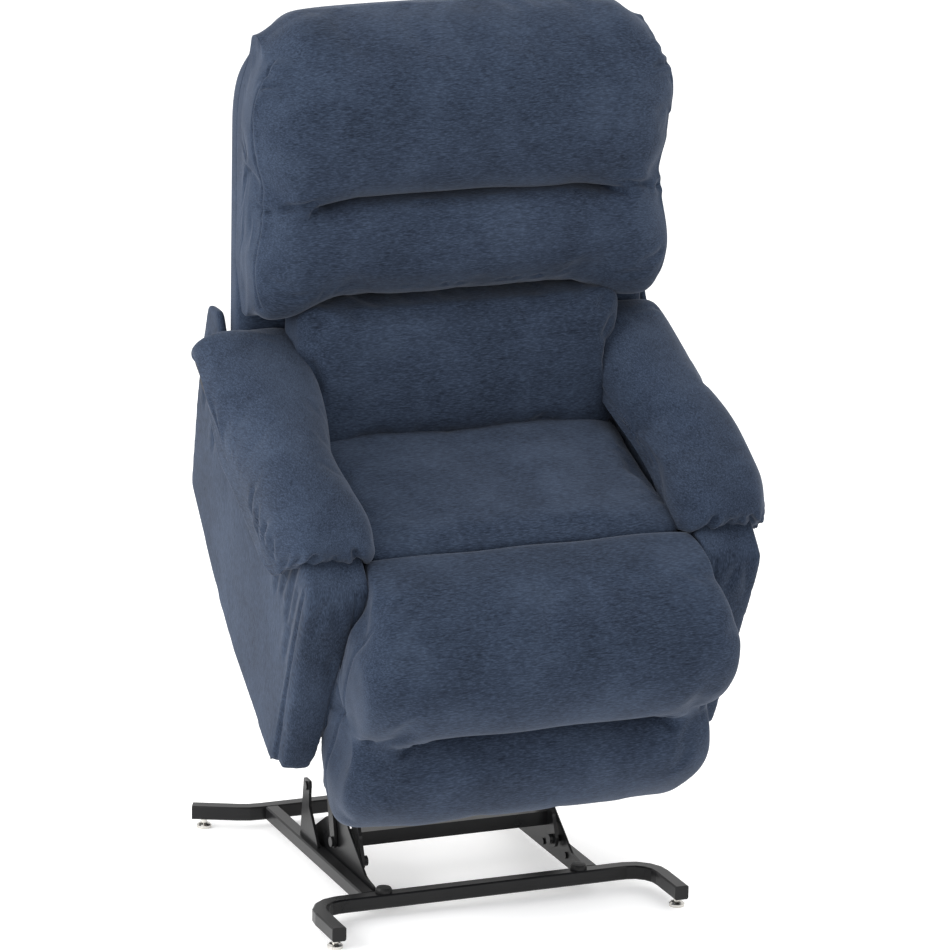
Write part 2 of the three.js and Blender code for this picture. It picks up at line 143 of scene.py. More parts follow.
def resample(poly, n):
    """A smooth closed curve through the outline's points, as n even points."""
    p = np.array(poly, float)
    k = len(p)
    out = []
    for i in range(k):
        p0, p1, p2, p3 = p[i - 1], p[i], p[(i + 1) % k], p[(i + 2) % k]
        for t in np.linspace(0, 1, 24, endpoint=False):
            out.append(0.5 * ((2 * p1) + (-p0 + p2) * t + (2 * p0 - 5 * p1 + 4 * p2 - p3) * t * t + (-p0 + 3 * p1 - 3 * p2 + p3) * t ** 3))
    out = np.array(out)
    d = np.concatenate([[0], np.cumsum(np.linalg.norm(np.roll(out, -1, 0) - out, axis=1))])
    s = np.linspace(0, d[-1], n, endpoint=False)
    closed = np.vstack([out, out[:1]])
    return np.stack([np.interp(s, d, closed[:, 0]), np.interp(s, d, closed[:, 1])], 1)


def make(name, verts, faces):
    me = bpy.data.meshes.new(name)
    me.from_pydata([tuple(map(float, v)) for v in verts], [], faces)
    me.update()
    o = bpy.data.objects.new(name, me)
    bpy.context.scene.collection.objects.link(o)
    import bmesh
    bm = bmesh.new(); bm.from_mesh(me)
    bmesh.ops.remove_doubles(bm, verts=bm.verts, dist=1e-6)
    bmesh.ops.recalc_face_normals(bm, faces=bm.faces)
    bm.to_mesh(me); bm.free()
    for poly in me.polygons:
        poly.use_smooth = True
    return o


def coords(o):
    a = np.empty(len(o.data.vertices) * 3)
    o.data.vertices.foreach_get("co", a)
    return a.reshape(-1, 3)


def set_coords(o, a):
    o.data.vertices.foreach_set("co", np.ascontiguousarray(a, dtype=float).ravel())
    o.data.update()


def normals(o):
    a = np.empty(len(o.data.vertices) * 3)
    o.data.vertices.foreach_get("normal", a)
    return a.reshape(-1, 3)


def apply_all(o):
    bpy.context.view_layer.update()
    dg = bpy.context.evaluated_depsgraph_get()
    me = bpy.data.meshes.new_from_object(o.evaluated_get(dg), depsgraph=dg)
    o.modifiers.clear()
    old = o.data
    o.data = me
    bpy.data.meshes.remove(old)
    for poly in me.polygons:
        poly.use_smooth = True


def remesh(o, voxel, iters=8):
    m = o.modifiers.new("remesh", "REMESH")
    m.mode = "VOXEL"; m.voxel_size = voxel
    apply_all(o)
    m = o.modifiers.new("smooth", "SMOOTH")
    m.factor = 0.5; m.iterations = iters
    apply_all(o)


def subdivide(o, n=1):
    m = o.modifiers.new("sub", "SUBSURF")
    m.levels = n; m.render_levels = n
    apply_all(o)


def stuff(o, cap=0.024, pressure=4.0, hold=None, frames=20, shrink=-0.02):
    """Blows a closed cover up by cloth simulation, with how far a point may move capped."""
    start = coords(o).copy()
    g = o.vertex_groups.new(name="hold")
    if hold is not None:
        w = hold(start)
        for i in np.nonzero(w > 0.01)[0]:
            g.add([int(i)], float(min(1.0, w[i])), "REPLACE")
    m = o.modifiers.new("cloth", "CLOTH")
    c = m.settings
    c.quality = 5
    c.mass = 0.35
    c.tension_stiffness = 18; c.compression_stiffness = 18; c.shear_stiffness = 6; c.bending_stiffness = 0.6
    c.use_pressure = True
    c.uniform_pressure_force = pressure
    c.shrink_min = shrink
    c.effector_weights.gravity = 0.0
    c.air_damping = 4.0
    if hold is not None:
        c.vertex_group_mass = "hold"
        c.pin_stiffness = 1.0
    m.collision_settings.use_collision = False
    m.collision_settings.use_self_collision = False
    m.point_cache.frame_start = 1; m.point_cache.frame_end = frames
    sc = bpy.context.scene
    for f in range(1, frames + 1):
        sc.frame_set(f)
    dg = bpy.context.evaluated_depsgraph_get()
    ev = o.evaluated_get(dg)
    a = np.empty(len(ev.data.vertices) * 3)
    ev.data.vertices.foreach_get("co", a)
    end = a.reshape(-1, 3)
    o.modifiers.clear()
    o.vertex_groups.clear()
    sc.frame_set(1)
    d = end - start
    d -= d.mean(0)
    ln = np.linalg.norm(d, axis=1, keepdims=True) + 1e-9
    k = cap * np.tanh(ln / cap) / ln
    set_coords(o, start + d * k)


# ------------------------------------------------------------------ materials
def node_material(name):
    m = bpy.data.materials.new(name)
    m.use_nodes = True
    nt = m.node_tree
    nt.nodes.clear()
    out = nt.nodes.new("ShaderNodeOutputMaterial")
    bsdf = nt.nodes.new("ShaderNodeBsdfPrincipled")
    nt.links.new(bsdf.outputs[0], out.inputs[0])
    return m, nt, bsdf


def noise(nt, src, scale, detail=3.0, rough=0.55, stretch=None, turn=None):
    if stretch is not None or turn is not None:
        mp = nt.nodes.new("ShaderNodeMapping")
        if stretch is not None:
            mp.inputs["Scale"].default_value = stretch
        if turn is not None:
            mp.inputs["Rotation"].default_value = turn
        nt.links.new(src, mp.inputs[0])
        src = mp.outputs[0]
    n = nt.nodes.new("ShaderNodeTexNoise")
    n.inputs["Scale"].default_value = scale
    n.inputs["Detail"].default_value = detail
    n.inputs["Roughness"].default_value = rough
    nt.links.new(src, n.inputs["Vector"])
    return n.outputs["Fac"]


def ramp(nt, src, stops):
    r = nt.nodes.new("ShaderNodeValToRGB")
    e = r.color_ramp.elements
    while len(e) < len(stops):
        e.new(0.5)
    for k, (pos, col) in enumerate(stops):
        e[k].position = pos
        e[k].color = (*col, 1.0) if len(col) == 3 else col
    nt.links.new(src, r.inputs[0])
    return r.outputs[0]


def mix(nt, a, b, fac, mode="MIX"):
    n = nt.nodes.new("ShaderNodeMix")
    n.data_type = "RGBA"; n.blend_type = mode
    for sock, val in ((0, fac), (6, a), (7, b)):
        if isinstance(val, (int, float)):
            n.inputs[sock].default_value = val
        elif isinstance(val, tuple):
            n.inputs[sock].default_value = (*val, 1.0)
        else:
            nt.links.new(val, n.inputs[sock])
    return n.outputs[2]


def maths(nt, op, a, b=None):
    n = nt.nodes.new("ShaderNodeMath")
    n.operation = op
    for k, val in enumerate((a, b)):
        if val is None:
            continue
        if isinstance(val, (int, float)):
            n.inputs[k].default_value = val
        else:
            nt.links.new(val, n.inputs[k])
    return n.outputs[0]


def bump(nt, bsdf, height, strength, dist):
    b = nt.nodes.new("ShaderNodeBump")
    b.inputs["Strength"].default_value = strength
    b.inputs["Distance"].default_value = dist
    nt.links.new(height, b.inputs["Height"])
    nt.links.new(b.outputs[0], bsdf.inputs["Normal"])


def fabric(name, dark, mid, light, thread=(120.0, 560.0, 560.0), turn=(0.0, 0.0, 0.0), sheen=0.14):
    """Heathered chenille: short threads along one way, a mottled nap and a soft sheen."""
    m, nt, bsdf = node_material(name)
    tc = nt.nodes.new("ShaderNodeTexCoord")
    pos = tc.outputs["Object"]
    nap = noise(nt, pos, 7.5, 4.0, 0.6)
    nap2 = noise(nt, pos, 26.0, 3.0, 0.6, stretch=(0.7, 1.0, 1.3))
    threads = noise(nt, pos, 1.0, 2.0, 0.6, stretch=thread, turn=turn)
    flecks = noise(nt, pos, 1.0, 1.0, 0.5, stretch=(thread[0] * 0.45, thread[1] * 0.62, thread[2] * 0.62), turn=turn)
    tone = ramp(nt, nap, [(0.37, dark), (0.5, mid), (0.64, light)])
    tone = mix(nt, tone, ramp(nt, nap2, [(0.3, dark), (0.7, light)]), 0.30)
    tone = mix(nt, tone, ramp(nt, threads, [(0.34, tuple(c * 0.45 for c in dark)), (0.5, mid), (0.66, tuple(min(1, c * 1.45) for c in light))]), 0.42)
    tone = mix(nt, tone, ramp(nt, flecks, [(0.36, tuple(c * 0.35 for c in dark)), (0.46, light)]), 0.16)
    nt.links.new(tone, bsdf.inputs["Base Color"])
    rough = maths(nt, "MULTIPLY_ADD", nap2, 0.12)
    rough.node.inputs[2].default_value = 0.84
    nt.links.new(rough, bsdf.inputs["Roughness"])
    bsdf.inputs["Sheen Weight"].default_value = sheen
    bsdf.inputs["Sheen Roughness"].default_value = 0.45
    bsdf.inputs["Sheen Tint"].default_value = (0.78, 0.85, 1.0, 1.0)
    bsdf.inputs["Specular IOR Level"].default_value = 0.12
    h = maths(nt, "ADD", maths(nt, "MULTIPLY", threads, 0.6), maths(nt, "MULTIPLY", nap2, 0.9))
    bump(nt, bsdf, h, 0.35, 0.0016)
    return m


def coated(name, base, rough=0.42, metal=0.0, fine=900.0, wear=(0.05, 0.05, 0.053), spec=0.3):
    """Powder coat or plastic: orange-peel bump, uneven gloss and rubbed edges."""
    m, nt, bsdf = node_material(name)
    tc = nt.nodes.new("ShaderNodeTexCoord")
    pos = tc.outputs["Object"]
    geo = nt.nodes.new("ShaderNodeNewGeometry")
    n1 = noise(nt, pos, 11.0, 4.0)
    n2 = noise(nt, pos, fine, 2.0)
    edge = ramp(nt, geo.outputs["Pointiness"], [(0.52, (0, 0, 0)), (0.6, (1, 1, 1))])
    col = mix(nt, base, tuple(c * 1.7 + 0.004 for c in base), n1)
    col = mix(nt, col, wear, maths(nt, "MULTIPLY", edge, maths(nt, "MULTIPLY", n1, 0.5)))
    nt.links.new(col, bsdf.inputs["Base Color"])
    r = maths(nt, "MULTIPLY_ADD", n1, 0.16); r.node.inputs[2].default_value = rough - 0.08
    nt.links.new(r, bsdf.inputs["Roughness"])
    bsdf.inputs["Specular IOR Level"].default_value = spec
    bsdf.inputs["Metallic"].default_value = metal
    bump(nt, bsdf, n2, 0.18, 0.0004)
    return m


def metal(name, base, rough=0.3, brushed=(60.0, 1400.0, 1400.0)):
    m, nt, bsdf = node_material(name)
    tc = nt.nodes.new("ShaderNodeTexCoord")
    pos = tc.outputs["Object"]
    n1 = noise(nt, pos, 18.0, 4.0)
    br = noise(nt, pos, 1.0, 3.0, stretch=brushed)
    col = mix(nt, base, tuple(c * 0.72 for c in base), n1)
    nt.links.new(col, bsdf.inputs["Base Color"])
    bsdf.inputs["Metallic"].default_value = 1.0
    r = maths(nt, "MULTIPLY_ADD", br, 0.2); r.node.inputs[2].default_value = rough - 0.05
    nt.links.new(r, bsdf.inputs["Roughness"])
    bump(nt, bsdf, br, 0.12, 0.0003)
    return m


def timber(name):
    m, nt, bsdf = node_material(name)
    tc = nt.nodes.new("ShaderNodeTexCoord")
    pos = tc.outputs["Object"]
    warp = noise(nt, pos, 5.0, 3.0)
    grain = noise(nt, pos, 1.0, 5.0, 0.65, stretch=(6.0, 90.0, 90.0))
    fine = noise(nt, pos, 1.0, 3.0, 0.6, stretch=(25.0, 620.0, 620.0))
    col = ramp(nt, grain, [(0.3, (0.30, 0.17, 0.08)), (0.5, (0.52, 0.34, 0.18)), (0.7, (0.66, 0.46, 0.27))])
    col = mix(nt, col, ramp(nt, fine, [(0.35, (0.25, 0.14, 0.07)), (0.6, (0.62, 0.43, 0.25))]), 0.35)
    col = mix(nt, col, (0.42, 0.27, 0.15), maths(nt, "MULTIPLY", warp, 0.35))
    nt.links.new(col, bsdf.inputs["Base Color"])
    bsdf.inputs["Roughness"].default_value = 0.68
    bump(nt, bsdf, fine, 0.25, 0.0005)
    return m


def woven(name):
    m, nt, bsdf = node_material(name)
    tc = nt.nodes.new("ShaderNodeTexCoord")
    w = nt.nodes.new("ShaderNodeTexWave"); w.inputs["Scale"].default_value = 130.0; w.bands_direction = "X"
    w2 = nt.nodes.new("ShaderNodeTexWave"); w2.inputs["Scale"].default_value = 130.0; w2.bands_direction = "Y"
    for n in (w, w2):
        n.inputs["Distortion"].default_value = 0.6
        nt.links.new(tc.outputs["Object"], n.inputs["Vector"])
    f = maths(nt, "MULTIPLY", w.outputs["Fac"], w2.outputs["Fac"])
    col = ramp(nt, f, [(0.1, (0.05, 0.05, 0.05)), (0.6, (0.32, 0.31, 0.28))])
    nt.links.new(col, bsdf.inputs["Base Color"])
    bsdf.inputs["Roughness"].default_value = 0.9
    bump(nt, bsdf, f, 0.5, 0.0008)
    return m


DARK, MID, LIGHT = (0.0070, 0.0118, 0.0230), (0.0160, 0.0245, 0.0440), (0.0345, 0.0490, 0.0790)
FAB = fabric("chenille", DARK, MID, LIGHT)
FAB_SIDE = fabric("chenille_side", DARK, MID, LIGHT, thread=(560.0, 560.0, 120.0), turn=(LEAN, 0, 0))
FAB_ARM = fabric("chenille_arm", DARK, MID, LIGHT, thread=(560.0, 120.0, 560.0), turn=(-LEAN, 0, 0))
THREAD = coated("seam_thread", (0.012, 0.018, 0.032), rough=0.7, fine=2500.0, wear=(0.03, 0.04, 0.06))
BLACK = coated("powder_coat", (0.0035, 0.0036, 0.004), rough=0.3, wear=(0.02, 0.02, 0.021), spec=0.22)
PLASTIC = coated("black_plastic", (0.005, 0.005, 0.0055), rough=0.5, fine=1600.0, wear=(0.02, 0.02, 0.02), spec=0.2)
KEYS = coated("keypad_rubber", (0.30, 0.30, 0.29), rough=0.6, fine=2000.0, wear=(0.4, 0.4, 0.4))
STEEL = metal("zinc_steel", (0.42, 0.43, 0.44), 0.38)
BRIGHT = metal("plated_steel", (0.72, 0.70, 0.66), 0.2)
WOOD = timber("plain_timber")
WEB = woven("elastic_webbing")

SLOT_MAT = {"frame_black": BLACK, "link_steel": STEEL, "bright_steel": BRIGHT, "black_plastic": PLASTIC, "button_grey": KEYS,
            "frame_wood": WOOD, "webbing": WEB, "upholstery": FAB}
slot_of = {s["node"]: s["material_slot"] for s in frame["record"]["subparts"]}
for n, o in frame["nodes"].items():
    o.data.materials.clear()
    o.data.materials.append(SLOT_MAT[slot_of[n]])


def finish_soft(o, body, mat, nodes):
    o.data.materials.clear()
    o.data.materials.append(mat)
    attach(o, body)
    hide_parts(*nodes)
    return o


def groove(P, N, centre, along, length, width, depth):
    """Presses a short fold line into the surface: points P (mm), normals N."""
    d = P - np.array(centre, float)
    a = np.array(along, float); a = a / np.linalg.norm(a)
    s = d @ a
    off = np.linalg.norm(d - s[:, None] * a, axis=1)
    w = gauss(off, width) * smooth(0, length * 0.18, s + length * 0.5) * (1 - smooth(length * 0.32, length * 0.5, s))
    ridge = gauss(off - 2.1 * width, width * 1.2) * smooth(0, length * 0.2, s + length * 0.5) * (1 - smooth(length * 0.3, length * 0.5, s))
    return P - N * (w * depth)[:, None] + N * (ridge * depth * 0.35)[:, None]


def lumps(P, N, seed, amp, short=150.0, long=340.0):
    """Uneven filling: a few random soft waves along the normals, in mm."""
    rng = np.random.RandomState(seed)
    h = np.zeros(len(P))
    for _ in range(9):
        d = rng.normal(size=3); d /= np.linalg.norm(d)
        h += np.sin(P @ d * (2 * math.pi / rng.uniform(short, long)) + rng.uniform(0, 6.28))
    return P + N * (h * amp / 3.0)[:, None]


def world_to_chair(w):
    y, z = w[:, 1] * 1000 - YC, w[:, 2] * 1000
    return np.stack([w[:, 0] * 1000, y * C1 + z * S1, -y * S1 + z * C1], 1)


def world_to_back(w):
    p = world_to_chair(w)
    du, dv = p[:, 1] - KU, p[:, 2] - KV
    return np.stack([p[:, 0], du * C2 + dv * S2, -du * S2 + dv * C2], 1)


def rot_normals(o, kind):
    n = normals(o)
    a = LEAN if kind == "chair" else LEAN + BACK
    c, s = math.cos(a), math.sin(a)
    return np.stack([n[:, 0], n[:, 1] * c + n[:, 2] * s, -n[:, 1] * s + n[:, 2] * c], 1)


# ------------------------------------------------------------------ backrest: head and middle rolls, one cover
def end_round(p, x, w, r, keep):
    """Pulls an outline in towards its middle near the ends of a lofted cushion."""
    e = max(0.0, (abs(x) - (w - r)) / r)
    off = r * (1 - math.sqrt(max(0.0, 1 - min(1.0, e) ** 2)))
    c = p.mean(0)
    d = p - c
    ln = np.linalg.norm(d, axis=1, keepdims=True)
    return c + d * (1 - off * keep(p)[:, None] / (ln + 30))


def stations(w, r, n):
    """Stations along a cushion, bunched where its ends turn over."""
    mid = list(np.linspace(-(w - r), w - r, n))
    turn = [w - r + r * math.sin(math.pi / 2 * k / 9) for k in range(1, 10)]
    return [-q for q in turn[::-1]] + mid + turn


def back_upper():
    W = 369.0

    def prof(x):
        k = 1 - float(smooth(225, 300, abs(x)))
        tc = 447 - 15 * float(smooth(180, 300, abs(x)))
        poly = [(-47, 742), (-47, 640), (-47, 500), (-47, 380), (-48, 272), (-78, 262), (-118, 264), (-146, 286), (-156, 325), (-156, 372),
                (-149 - 4 * (1 - k), 408), (-134 - 19 * (1 - k), tc - 16), (-76 - 76 * (1 - k), tc - 4), (-122 - 30 * (1 - k), tc + 1 + 6 * (1 - k)),
                (-154, tc + 24), (-166, 505), (-168, 560), (-166, 615), (-158, 668), (-138, 712), (-106, 738), (-74, 746)]
        return resample(poly, 170)

    xs = stations(W, 34, 56)
    v, f = loft(lambda x: end_round(prof(x), x, W, 34, lambda p: 1 - 0.97 * smooth(-100, -60, p[:, 0])), xs, cap=12)
    x, n, t = v[:, 0], v[:, 1], v[:, 2]
    top = smooth(560, 746, t)
    half = 1 - 0.062 * top ** 1.3 - 0.022 * (1 - smooth(262, 345, t))
    a = np.abs(x) / W
    t = t - (8 * a ** 2 + 34 * smooth(0.74, 1.0, a) ** 1.4) * smooth(600, 746, t)
    t = t - 26 * smooth(205, 320, np.abs(x)) * (1 - smooth(262, 345, t))
    n = n + (1 - smooth(-150, -90, n)) * 12 * a ** 3
    # the rim beds into the outer cover, outside the board
    n = n + 13 * smooth(256, 282, np.abs(x)) * smooth(-62, -48, n)
    o = make("back_cover_upper", back_to_world(np.stack([x * half, n, t], 1)), f)
    stuff(o, cap=0.016, pressure=4.0, hold=lambda w: smooth(-72, -50, world_to_back(w)[:, 1]))
    subdivide(o, 1)
    Q = world_to_back(coords(o)); N = rot_normals(o, "back")
    Q = lumps(Q, N, 3, 1.5)
    # side band seam
    band = gauss(Q[:, 1] + 118, 2.6) * smooth(0.55, 0.8, np.abs(N[:, 0]))
    lip = gauss(Q[:, 1] + 125, 4.0) * smooth(0.5, 0.8, np.abs(N[:, 0]))
    Q = Q - N * (band * 3.4)[:, None] + N * (lip * 2.2)[:, None]
    for s in (-1, 1):
        for (xx, nn, tt, ax, an, at, ln, wd, dep) in (
                (338, -118, 737, 1, 0.8, -0.1, 90, 6, 13), (330, -134, 708, 1, 0.9, -0.12, 84, 5.5, 12), (340, -138, 676, 1, 0.8, -0.1, 80, 5.5, 10),
                (346, -142, 640, 1, 0.8, -0.05, 60, 5, 6), (300, -128, 722, 1, 0.3, 0.25, 70, 7, 5), (352, -80, 726, 0.2, 1, -0.1, 70, 5, 7), (356, -84, 690, 0.15, 1, 0, 60, 5, 6),
                (322, -150, 437, 1, 0.25, -0.16, 120, 6, 9), (286, -150, 422, 1, 0, -0.7, 56, 6, 6), (290, -152, 462, 1, 0, 0.55, 60, 6, 6),
                (352, -120, 430, 0.2, 1, 0.1, 90, 6, 6), (330, -150, 305, 1, 0.4, 0.3, 80, 7, 5), (300, -146, 284, 1, 0.2, 0.2, 90, 7, 4), (350, -110, 330, 0.1, 1, 0.25, 80, 7, 4)):
            Q = groove(Q, N, (s * xx, nn, tt), (s * ax, an, at), ln, wd, dep)
    # small pull marks under the rolls
    rng = np.random.RandomState(11)
    for k in range(16):
        x0 = rng.uniform(-230, 230)
        Q = groove(Q, N, (x0, -150, 424 + rng.uniform(-4, 4)), (rng.uniform(-0.35, 0.35), 0.1, -1), rng.uniform(26, 52), 4.5, rng.uniform(1.2, 3.0))
        x0 = rng.uniform(-300, 300)
        Q = groove(Q, N, (x0, -138, 282), (rng.uniform(-0.3, 0.3), 0.2, 1), rng.uniform(26, 50), 5, rng.uniform(1.0, 2.4))
    set_coords(o, back_to_world(Q))
    return finish_soft(o, "backrest", FAB, ("back_pillow_head", "back_pillow_middle"))


def back_lumbar():
    v, f = soft_box((288, 45, 122), 9.0, 12.0)
    a, b, c = v[:, 0], v[:, 1], v[:, 2]
    t = 133 + 127 * c
    x = (291 - 4 * (1 - smooth(22, 90, t))) * a
    n = -87 + 43 * b
    fr = smooth(0.1, 0.9, -b)
    n = n - fr * 8 * gauss(t - 110, 70) * (1 - np.abs(a) ** 4)
    o = make("back_cover_lumbar", back_to_world(np.stack([x, n, t], 1)), f)
    stuff(o, cap=0.014, hold=lambda w: smooth(-70, -50, world_to_back(w)[:, 1]))
    subdivide(o, 1)
    Q = world_to_back(coords(o)); N = rot_normals(o, "back")
    Q = lumps(Q, N, 5, 1.4)
    for s in (-1, 1):
        for (xx, tt, ax, at, ln, dep) in ((236, 228, 1, 0.45, 90, 6), (226, 206, 1, 0.62, 100, 5), (250, 180, 0.8, 0.9, 80, 4.5), (262, 140, 0.3, 1, 70, 4)):
            Q = groove(Q, N, (s * xx, -128, tt), (s * ax, 0, at), ln, 8, dep)
    set_coords(o, back_to_world(Q))
    return finish_soft(o, "backrest", FAB, ("back_pillow_lumbar",))


def back_outer():
    v, f = soft_box((370, 30, 350), 11.0, 9.0)
    a, b, c = v[:, 0], v[:, 1], v[:, 2]
    t = 394.5 + 349.5 * c
    top = smooth(560, 744, t)
    x = (369 - 20 * top - 6 * smooth(-1, 1, b) * 0) * a
    t = t - (8 * a ** 2 + 36 * smooth(0.74, 1.0, np.abs(a)) ** 1.4) * smooth(600, 744, t)
    n = -13.5 + 29.5 * b
    n = n + smooth(0.2, 1, b) * 5 * (1 - a ** 4) * gauss(t - 400, 260)
    o = make("back_outer_cover", back_to_world(np.stack([x, n, t], 1)), f)
    subdivide(o, 1)
    Q = world_to_back(coords(o)); N = rot_normals(o, "back")
    rear = smooth(0, 6, Q[:, 1])
    for s in (-1, 1):
        Q = Q - N * (gauss(Q[:, 0] - s * 330, 2.6) * rear * 2.6)[:, None]
    Q = Q - N * (gauss(Q[:, 2] - 705, 2.6) * rear * 2.6 * (np.abs(Q[:, 0]) < 331))[:, None]
    for k, (x0, t0, ax, at, ln, d) in enumerate(((-180, 120, 0.2, 1, 200, 3.5), (150, 160, -0.25, 1, 240, 3.5), (20, 90, 0.05, 1, 150, 3), (-60, 640, 1, 0.1, 260, 2.5), (240, 560, 0.4, 1, 200, 2.5))):
        Q = groove(Q, N, (x0, 20, t0), (ax, 0, at), ln, 16, d)
    set_coords(o, back_to_world(Q))
    return finish_soft(o, "backrest", FAB, ("back_shell",))


# ------------------------------------------------------------------ seat
def seat():
    v, f = soft_box((289, 185, 46), 9.0, 9.0)
    a, b, c = v[:, 0], v[:, 1], v[:, 2]
    u = 208 + 190 * b
    x = 290.5 * a
    low = 693.5 - 0.1325 * (u - 22)
    high = 797 - 0.225 * (u - 25)
    h = (c + 1) / 2
    vv = low + (high - low) * h
    vv = vv + smooth(0.5, 1, h) * (7 * (1 - a ** 2) * (1 - b ** 2) - 5 * gauss(x, 130) * gauss(u - 260, 110))
    o = make("seat_cushion_cover", chair_to_world(np.stack([x, u, vv], 1)), f)
    stuff(o, cap=0.010, pressure=2.5, hold=lambda w: 1 - smooth(10, 34, world_to_chair(w)[:, 2] - (693.5 - 0.1325 * (world_to_chair(w)[:, 1] - 22))))
    subdivide(o, 1)
    Q = world_to_chair(coords(o)); N = rot_normals(o, "chair")
    Q = lumps(Q, N, 7, 1.5)
    for (xx, uu, ax, au, ln, d) in ((-230, 70, 1, -0.3, 120, 3), (-255, 130, 0.5, -1, 110, 3), (235, 90, -1, -0.4, 120, 3), (180, 340, 1, 0.25, 150, 3), (-190, 345, 1, -0.2, 150, 3)):
        Q = groove(Q, N, (xx, uu, 790 - 0.229 * (uu - 25)), (ax, au, -0.2 * au), ln, 10, d)
    set_coords(o, chair_to_world(Q))
    return finish_soft(o, "chair_frame", FAB, ("seat_cushion",))


# ------------------------------------------------------------------ arms
def arm_pad(s, tag):
    poly = [(32, 776), (22, 788), (9, 806), (8, 828), (28, 848), (66, 859), (120, 864), (200, 866), (330, 864), (430, 860), (492, 853), (505, 838), (488, 806), (464, 774),
            (400, 772.5), (250, 772.5), (140, 772.5), (70, 772.5)]
    base = resample(poly, 150)
    W, R = 70.0, 44.0
    xs = stations(W, R, 13)

    def ring(x):
        e = max(0.0, (abs(x) - (W - R)) / R)
        off = 1 - math.sqrt(max(0.0, 1 - min(1.0, e) ** 2))
        p = base.copy()
        h = (p[:, 1] - 772) / 92
        p[:, 1] = p[:, 1] - off * 50 * h
        p[:, 0] = p[:, 0] + off * 26 * (1 - smooth(10, 90, p[:, 0]))
        return p
    v, f = loft(ring, xs, cap=8)
    u, vv = v[:, 1], v[:, 2]
    a = v[:, 0] / W
    # the outer side runs nearly straight back over the handset, and tapers on the other arm
    if s < 0:
        xo = 438 + 8 * smooth(240, 420, u)
    else:
        xo = 438 - 36 * smooth(170, 500, u)
    xo = xo - 16 * (1 - smooth(0, 90, u))
    inner = 284 - 12 * gauss(u - 60, 70) - 30 * smooth(150, 400, u)
    x = inner + (xo - inner) * (a + 1) / 2
    # both long edges droop, the outer one over the side panel
    out = smooth(402, 432, x) * (1 - smooth(300, 392, u))
    inn = 1 - smooth(inner, inner + 26, x)
    vv = vv - (30 * out + 14 * inn * (1 - smooth(380, 470, u))) * (1 - smooth(772, 866, vv)) - 5 * out
    if s < 0:
        vv = vv + 27 * smooth(394, 400, x) * smooth(380, 398, u) * (1 - smooth(772, 800, vv))
    vv = vv + 6 * gauss(u - 110, 120) * (1 - a ** 2) * smooth(790, 850, vv) - 5 * gauss(u - 300, 120) * smooth(800, 850, vv)
    o = make("arm_pad_cover_" + tag, chair_to_world(np.stack([s * x, u, vv], 1)), f)
    stuff(o, cap=0.014, pressure=4.0, hold=lambda w: 1 - smooth(775, 792, world_to_chair(w)[:, 2]))
    subdivide(o, 1)
    Q = world_to_chair(coords(o)); N = rot_normals(o, "chair")
    Q = lumps(Q, N, 11, 1.5)
    for (xx, uu, v0, ax, au, av, ln, wd, d) in (
            (306, 14, 800, 0.45, -0.35, 1, 78, 6, 13), (318, 8, 812, 0.1, -0.3, 1, 52, 5, 6), (292, 22, 806, 0.6, -0.2, 1, 60, 5.5, 7),
            (396, 10, 800, -0.55, -0.3, 1, 66, 6, 12), (414, 14, 796, -0.1, -0.3, 1, 66, 5.5, 7), (426, 26, 792, 0.15, -0.2, 1, 70, 5.5, 6), (350, 8, 806, 0.1, -0.3, 1, 30, 5, 4),
            (436, 60, 782, -0.1, 0.35, 1, 62, 6, 6), (438, 92, 786, 0, 0.4, 1, 56, 6, 5), (438, 130, 786, 0.0, 0.5, 1, 52, 6, 4), (436, 170, 790, 0.1, 0.5, 1, 50, 6, 3.5),
            (400, 330, 800, -0.2, 1, 0.4, 100, 7, 4.5), (386, 430, 812, -0.2, 1, 0.3, 90, 6, 5), (352, 470, 850, 1, 0.3, -0.1, 76, 6, 4),
            (296, 120, 800, 0, 1, 0.3, 120, 7, 3.5), (296, 300, 806, 0, 1, 0.2, 120, 7, 3.5)):
        Q = groove(Q, N, (s * xx, uu, v0), (s * ax, au, av), ln, wd, d)
    set_coords(o, chair_to_world(Q))
    return finish_soft(o, "chair_frame", FAB_ARM, ("arm_pad_" + tag,))


